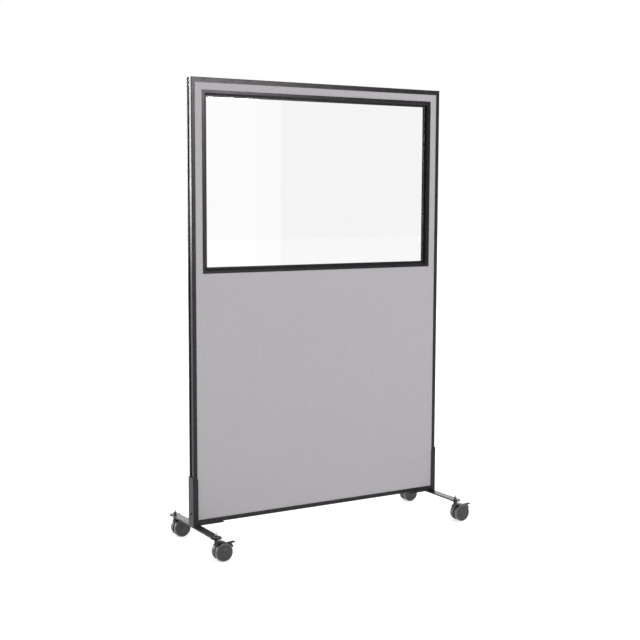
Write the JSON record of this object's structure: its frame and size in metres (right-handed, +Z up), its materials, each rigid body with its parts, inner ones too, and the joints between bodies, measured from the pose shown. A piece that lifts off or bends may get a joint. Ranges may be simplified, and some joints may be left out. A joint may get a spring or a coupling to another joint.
{
  "type": "mobile partition panel",
  "caption": "Fabric-covered partition panel with a clear window above, standing in steel end sockets on flat feet with braked twin-wheel casters.",
  "frame": {"origin": "on the floor, at the middle of the whole object's footprint", "axes": "+X along the panel towards its right end seen from the front, +Z up, -Y out of the front face"},
  "size_m": [1.3014, 0.453, 1.9353],
  "materials": {
    "frame_paint": "satin charcoal powder coat on the posts and rails",
    "trim_paint": "satin charcoal powder coat on the window trim",
    "steel_paint": "satin charcoal powder coat on the sockets and feet",
    "panel_fabric": "plain-woven light grey panel cloth",
    "clear_pane": "clear, polished",
    "gasket_rubber": "matt black",
    "timber": "bare softwood",
    "hardboard": "bare hardboard",
    "zinc": "bright zinc plate",
    "dark_fastener": "black oxide",
    "caster_nylon": "moulded black nylon",
    "wheel_nylon": "moulded dark grey nylon",
    "tread_rubber": "grey soft tread"
  },
  "bodies": {
    "panel": {"left_post": "frame_paint", "right_post": "frame_paint", "top_rail": "frame_paint", "bottom_rail": "frame_paint", "corner_brackets": "zinc", "corner_screws": "zinc", "core_frame": "timber", "front_board": "hardboard", "back_board": "hardboard", "front_fabric": "panel_fabric", "back_fabric": "panel_fabric", "window_pane": "clear_pane", "pane_gasket": "gasket_rubber", "front_trim_sill": "trim_paint", "front_trim_head": "trim_paint", "front_trim_left": "trim_paint", "front_trim_right": "trim_paint", "back_trim_sill": "trim_paint", "back_trim_head": "trim_paint", "back_trim_left": "trim_paint", "back_trim_right": "trim_paint", "left_socket": "steel_paint", "right_socket": "steel_paint", "left_foot": "steel_paint", "right_foot": "steel_paint", "socket_bolts": "dark_fastener", "tongue_bolts": "zinc", "foot_bolts": "zinc", "stem_nuts": "dark_fastener", "stem_washers": "zinc", "caster_stems": "zinc"},
    "front_left_caster": {"front_left_hood": "caster_nylon", "front_left_axle": "zinc"},
    "front_left_front_roller": {"front_left_front_wheel": "wheel_nylon", "front_left_front_tread": "tread_rubber"},
    "front_left_back_roller": {"front_left_back_wheel": "wheel_nylon", "front_left_back_tread": "tread_rubber"},
    "front_left_pedal": {"front_left_brake_pedal": "caster_nylon"},
    "front_right_caster": {"front_right_hood": "caster_nylon", "front_right_axle": "zinc"},
    "front_right_front_roller": {"front_right_front_wheel": "wheel_nylon", "front_right_front_tread": "tread_rubber"},
    "front_right_back_roller": {"front_right_back_wheel": "wheel_nylon", "front_right_back_tread": "tread_rubber"},
    "front_right_pedal": {"front_right_brake_pedal": "caster_nylon"},
    "back_left_caster": {"back_left_hood": "caster_nylon", "back_left_axle": "zinc"},
    "back_left_front_roller": {"back_left_front_wheel": "wheel_nylon", "back_left_front_tread": "tread_rubber"},
    "back_left_back_roller": {"back_left_back_wheel": "wheel_nylon", "back_left_back_tread": "tread_rubber"},
    "back_left_pedal": {"back_left_brake_pedal": "caster_nylon"},
    "back_right_caster": {"back_right_hood": "caster_nylon", "back_right_axle": "zinc"},
    "back_right_front_roller": {"back_right_front_wheel": "wheel_nylon", "back_right_front_tread": "tread_rubber"},
    "back_right_back_roller": {"back_right_back_wheel": "wheel_nylon", "back_right_back_tread": "tread_rubber"},
    "back_right_pedal": {"back_right_brake_pedal": "caster_nylon"}
  },
  "joints": [
    {"name": "front_left_swivel", "type": "hinge", "parent": "panel", "child": "front_left_caster", "pos_m": [-0.62823, -0.2025, 0.08775], "axis": [0, 0, 1], "continuous": true},
    {"name": "front_left_front_wheel_spin", "type": "hinge", "parent": "front_left_caster", "child": "front_left_front_roller", "pos_m": [-0.60223, -0.2025, 0.0375], "axis": [0, 1, 0], "continuous": true},
    {"name": "front_left_back_wheel_spin", "type": "hinge", "parent": "front_left_caster", "child": "front_left_back_roller", "pos_m": [-0.60223, -0.2025, 0.0375], "axis": [0, 1, 0], "continuous": true},
    {"name": "front_left_brake", "type": "hinge", "parent": "front_left_caster", "child": "front_left_pedal", "pos_m": [-0.58561, -0.2025, 0.06308], "axis": [0, 1, 0], "range_deg": [0, 8]},
    {"name": "front_right_swivel", "type": "hinge", "parent": "panel", "child": "front_right_caster", "pos_m": [0.56973, -0.2025, 0.08775], "axis": [0, 0, 1], "continuous": true},
    {"name": "front_right_front_wheel_spin", "type": "hinge", "parent": "front_right_caster", "child": "front_right_front_roller", "pos_m": [0.59572, -0.2025, 0.0375], "axis": [0, 1, 0], "continuous": true},
    {"name": "front_right_back_wheel_spin", "type": "hinge", "parent": "front_right_caster", "child": "front_right_back_roller", "pos_m": [0.59572, -0.2025, 0.0375], "axis": [0, 1, 0], "continuous": true},
    {"name": "front_right_brake", "type": "hinge", "parent": "front_right_caster", "child": "front_right_pedal", "pos_m": [0.61234, -0.2025, 0.06308], "axis": [0, 1, 0], "range_deg": [0, 8]},
    {"name": "back_left_swivel", "type": "hinge", "parent": "panel", "child": "back_left_caster", "pos_m": [-0.62823, 0.2025, 0.08775], "axis": [0, 0, 1], "continuous": true},
    {"name": "back_left_front_wheel_spin", "type": "hinge", "parent": "back_left_caster", "child": "back_left_front_roller", "pos_m": [-0.60223, 0.2025, 0.0375], "axis": [0, 1, 0], "continuous": true},
    {"name": "back_left_back_wheel_spin", "type": "hinge", "parent": "back_left_caster", "child": "back_left_back_roller", "pos_m": [-0.60223, 0.2025, 0.0375], "axis": [0, 1, 0], "continuous": true},
    {"name": "back_left_brake", "type": "hinge", "parent": "back_left_caster", "child": "back_left_pedal", "pos_m": [-0.58561, 0.2025, 0.06308], "axis": [0, 1, 0], "range_deg": [0, 8]},
    {"name": "back_right_swivel", "type": "hinge", "parent": "panel", "child": "back_right_caster", "pos_m": [0.56973, 0.2025, 0.08775], "axis": [0, 0, 1], "continuous": true},
    {"name": "back_right_front_wheel_spin", "type": "hinge", "parent": "back_right_caster", "child": "back_right_front_roller", "pos_m": [0.59572, 0.2025, 0.0375], "axis": [0, 1, 0], "continuous": true},
    {"name": "back_right_back_wheel_spin", "type": "hinge", "parent": "back_right_caster", "child": "back_right_back_roller", "pos_m": [0.59572, 0.2025, 0.0375], "axis": [0, 1, 0], "continuous": true},
    {"name": "back_right_brake", "type": "hinge", "parent": "back_right_caster", "child": "back_right_pedal", "pos_m": [0.61234, 0.2025, 0.06308], "axis": [0, 1, 0], "range_deg": [0, 8]}
  ]
}
